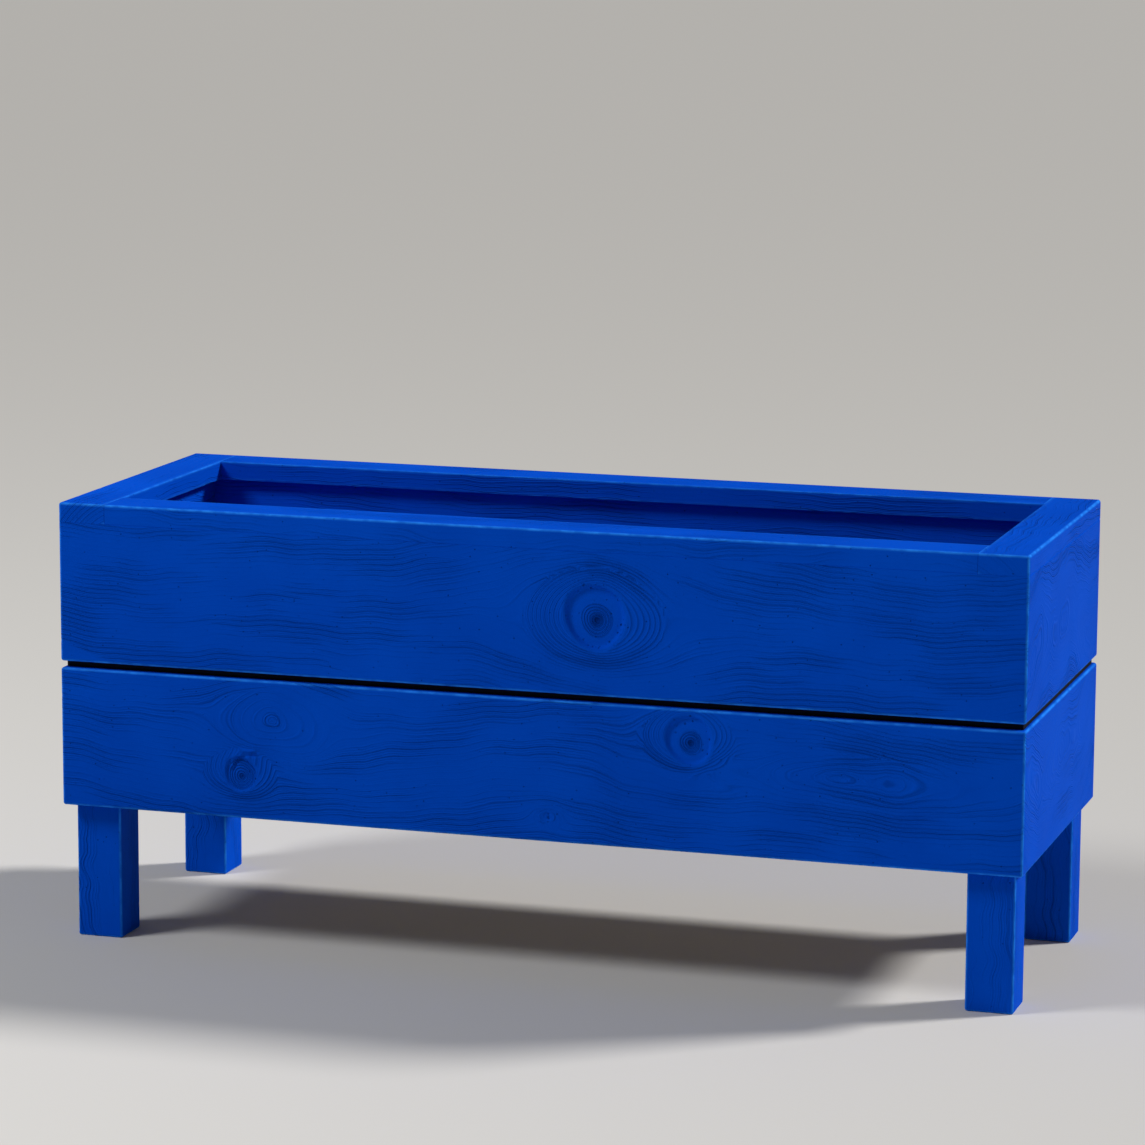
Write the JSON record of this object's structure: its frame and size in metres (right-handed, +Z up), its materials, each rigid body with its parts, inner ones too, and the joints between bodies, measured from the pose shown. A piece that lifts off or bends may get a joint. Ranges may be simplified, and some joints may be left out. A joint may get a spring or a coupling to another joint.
{
  "type": "raised planter on legs",
  "caption": "Long raised timber planter: a painted plank box with a shadow gap, a flat cap frame, a slatted base with drainage gaps, and short square legs at its corners.",
  "frame": {"origin": "middle of the footprint on the floor, under the centre of the box", "axes": "+X along the box to its right end, +Y to its back, +Z up"},
  "size_m": [1.2, 0.44, 0.544],
  "materials": {
    "painted_timber": "satin exterior wood paint, bright blue",
    "stained_spacers": "dark stain, matte",
    "bare_timber": "bare pressure-treated softwood",
    "screw_steel": "yellow passivated zinc",
    "nail_steel": "galvanised",
    "beech_pegs": "bare beech"
  },
  "bodies": {
    "root": {"front_plank_lower": "painted_timber", "back_plank_lower": "painted_timber", "left_plank_lower": "painted_timber", "right_plank_lower": "painted_timber", "front_plank_upper": "painted_timber", "back_plank_upper": "painted_timber", "left_plank_upper": "painted_timber", "right_plank_upper": "painted_timber", "front_cap_strip": "painted_timber", "back_cap_strip": "painted_timber", "left_cap_strip": "painted_timber", "right_cap_strip": "painted_timber", "front_left_leg": "painted_timber", "front_right_leg": "painted_timber", "back_left_leg": "painted_timber", "back_right_leg": "painted_timber", "front_spacer_strip": "stained_spacers", "back_spacer_strip": "stained_spacers", "left_spacer_strip": "stained_spacers", "right_spacer_strip": "stained_spacers", "front_bearer": "bare_timber", "back_bearer": "bare_timber", "base_slat_01": "bare_timber", "base_slat_02": "bare_timber", "base_slat_03": "bare_timber", "base_slat_04": "bare_timber", "base_slat_05": "bare_timber", "base_slat_06": "bare_timber", "base_slat_07": "bare_timber", "base_slat_08": "bare_timber", "base_slat_09": "bare_timber", "base_slat_10": "bare_timber", "leg_screws": "screw_steel", "bearer_screws": "screw_steel", "slat_screws": "screw_steel", "cap_nails": "nail_steel", "course_dowels": "beech_pegs", "corner_tenons": "beech_pegs"}
  },
  "joints": []
}
